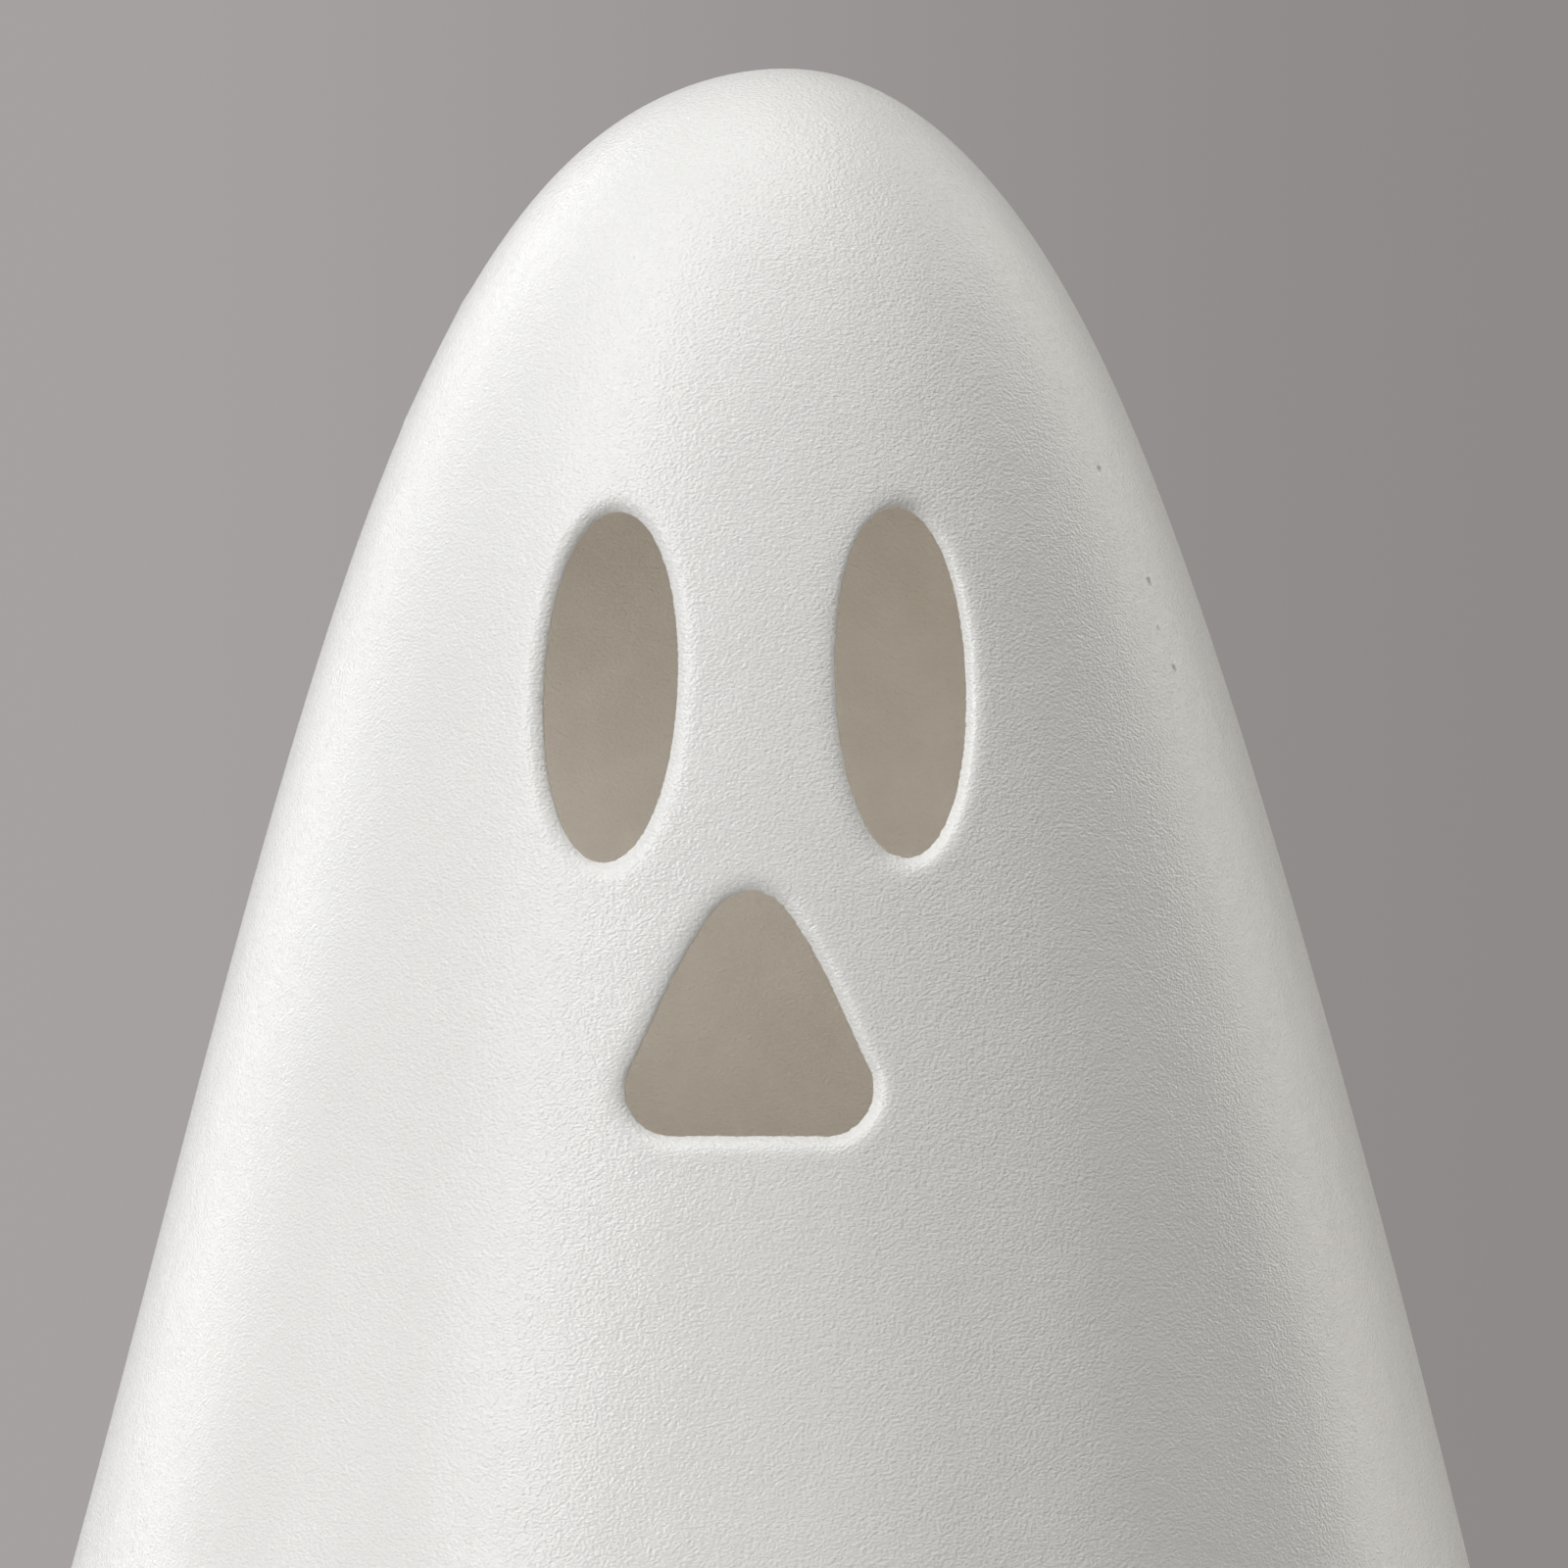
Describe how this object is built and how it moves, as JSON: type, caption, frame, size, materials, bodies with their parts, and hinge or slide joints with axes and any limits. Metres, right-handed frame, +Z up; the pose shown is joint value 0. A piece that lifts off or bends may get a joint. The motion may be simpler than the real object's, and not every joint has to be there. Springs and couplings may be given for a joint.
{
  "type": "ghost tealight holder",
  "caption": "Ceramic bedsheet ghost with cut-through eyes and mouth; a tealight slides in through the arch at the back and shines out of the face.",
  "frame": {"origin": "on the table surface, under the middle of the base", "axes": "+Z up, the face looks along -Y, the candle arch opens along +Y, +X is to the right as seen from in front"},
  "size_m": [0.114, 0.1104, 0.14],
  "materials": {
    "ceramic": "matt white, finely grained slip-cast ceramic",
    "rubber": "moulded pale grey rubber, dull",
    "aluminium": "thin drawn sheet, satin",
    "wax": "cast paraffin, slightly translucent",
    "tinplate": "stamped tinned sheet",
    "cotton": "braided waxed cotton"
  },
  "bodies": {
    "ghost": {"ghost_shell": "ceramic", "foot_pad_front_left": "rubber", "foot_pad_front_right": "rubber", "foot_pad_rear_left": "rubber", "foot_pad_rear_right": "rubber"},
    "tealight": {"tealight_cup": "aluminium", "tealight_wax": "wax", "wick_sustainer": "tinplate", "tealight_wick": "cotton"}
  },
  "joints": [
    {"name": "tealight_slide", "type": "slide", "parent": "ghost", "child": "tealight", "axis": [0, 1, 0], "range_m": [0, 0.1]}
  ]
}
